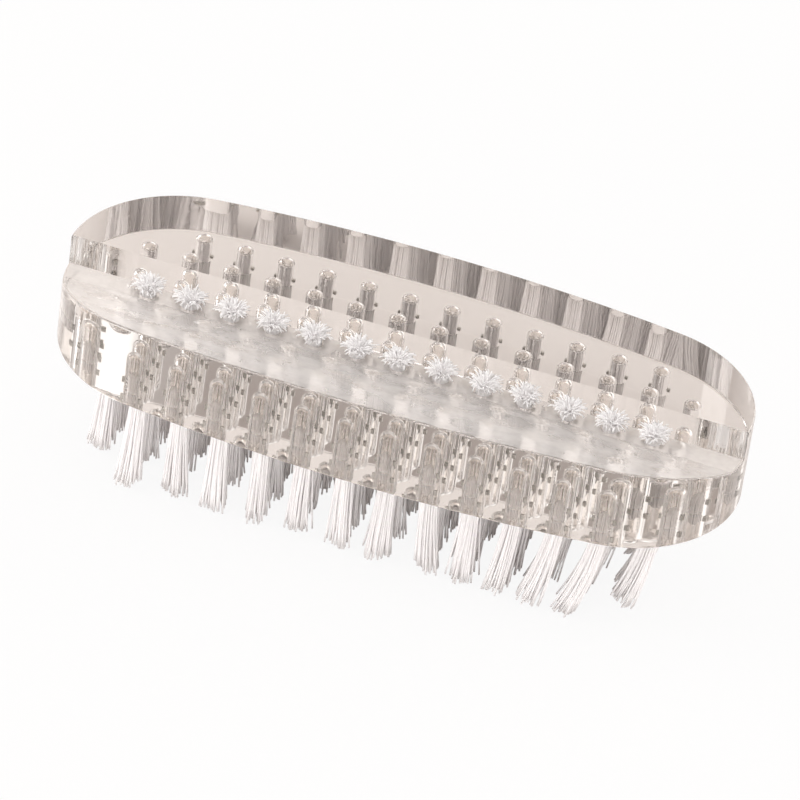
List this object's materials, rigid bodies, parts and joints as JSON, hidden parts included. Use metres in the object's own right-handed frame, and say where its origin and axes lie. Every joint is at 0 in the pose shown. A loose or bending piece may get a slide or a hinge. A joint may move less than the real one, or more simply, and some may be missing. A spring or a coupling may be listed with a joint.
{
  "type": "hand and nail brush",
  "caption": "Oval clear acrylic hand brush: rows of long nylon bristles below and one row of short bristles in a channel on top, for scrubbing hands and cleaning nails.",
  "frame": {"origin": "middle of the plane of the lower bristle tips, under the middle of the block", "axes": "+X along the block, +Y across it towards the level rear land, +Z from the bristle tips to the channelled top"},
  "size_m": [0.0966, 0.039, 0.0298],
  "materials": {
    "acrylic": "clear polished",
    "bristle": "translucent white nylon filament",
    "anchor_wire": "drawn flat wire"
  },
  "bodies": {
    "root": {"body": "acrylic", "lower_tufts_01": "bristle", "lower_tufts_02": "bristle", "lower_tufts_03": "bristle", "lower_tufts_04": "bristle", "lower_tufts_05": "bristle", "lower_tufts_06": "bristle", "lower_tufts_07": "bristle", "lower_tufts_08": "bristle", "lower_tufts_09": "bristle", "lower_tufts_10": "bristle", "lower_tufts_11": "bristle", "lower_tufts_12": "bristle", "lower_tufts_13": "bristle", "lower_tufts_14": "bristle", "top_tuft_01": "bristle", "top_tuft_02": "bristle", "top_tuft_03": "bristle", "top_tuft_04": "bristle", "top_tuft_05": "bristle", "top_tuft_06": "bristle", "top_tuft_07": "bristle", "top_tuft_08": "bristle", "top_tuft_09": "bristle", "top_tuft_10": "bristle", "top_tuft_11": "bristle", "top_tuft_12": "bristle", "top_tuft_13": "bristle", "lower_anchors_01": "anchor_wire", "lower_anchors_02": "anchor_wire", "lower_anchors_03": "anchor_wire", "lower_anchors_04": "anchor_wire", "lower_anchors_05": "anchor_wire", "lower_anchors_06": "anchor_wire", "lower_anchors_07": "anchor_wire", "lower_anchors_08": "anchor_wire", "lower_anchors_09": "anchor_wire", "lower_anchors_10": "anchor_wire", "lower_anchors_11": "anchor_wire", "lower_anchors_12": "anchor_wire", "lower_anchors_13": "anchor_wire", "lower_anchors_14": "anchor_wire", "top_anchor_01": "anchor_wire", "top_anchor_02": "anchor_wire", "top_anchor_03": "anchor_wire", "top_anchor_04": "anchor_wire", "top_anchor_05": "anchor_wire", "top_anchor_06": "anchor_wire", "top_anchor_07": "anchor_wire", "top_anchor_08": "anchor_wire", "top_anchor_09": "anchor_wire", "top_anchor_10": "anchor_wire", "top_anchor_11": "anchor_wire", "top_anchor_12": "anchor_wire", "top_anchor_13": "anchor_wire"}
  },
  "joints": []
}
